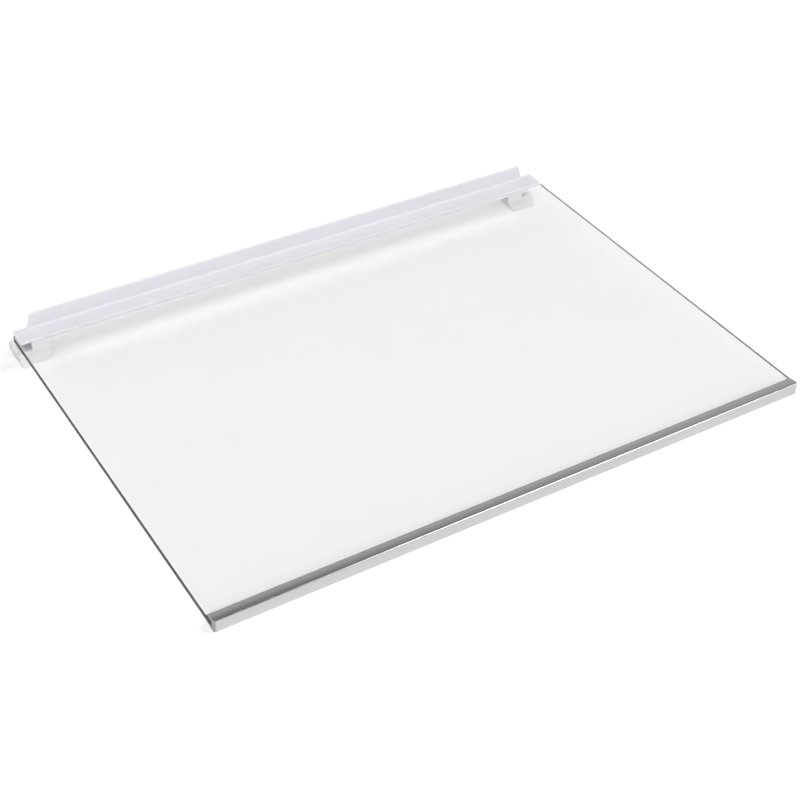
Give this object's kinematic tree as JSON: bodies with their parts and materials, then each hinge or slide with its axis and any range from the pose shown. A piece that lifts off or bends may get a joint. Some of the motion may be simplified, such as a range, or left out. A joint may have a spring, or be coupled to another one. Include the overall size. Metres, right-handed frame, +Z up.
{
  "type": "refrigerator glass shelf",
  "caption": "Flat glass shelf plate with a slim metal front trim and a white plastic rear trim that has an upstand and a hooked foot under each rear corner.",
  "frame": {"origin": "below the middle of the shelf, on the plane of the feet's bottoms", "axes": "+X along the width, to the right as seen from the door; +Y along the depth, to the cabinet's back wall; +Z up"},
  "size_m": [0.47, 0.355, 0.0398],
  "materials": {
    "shelf_glass": "clear toughened float glass, polished faces, ground edges",
    "front_aluminium": "satin anodised, fine drawing lines along the profile",
    "white_plastic": "satin white moulded plastic with a faint lilac cast"
  },
  "bodies": {
    "root": {"glass_plate": "shelf_glass", "front_trim": "front_aluminium", "rear_trim": "white_plastic"}
  },
  "joints": []
}
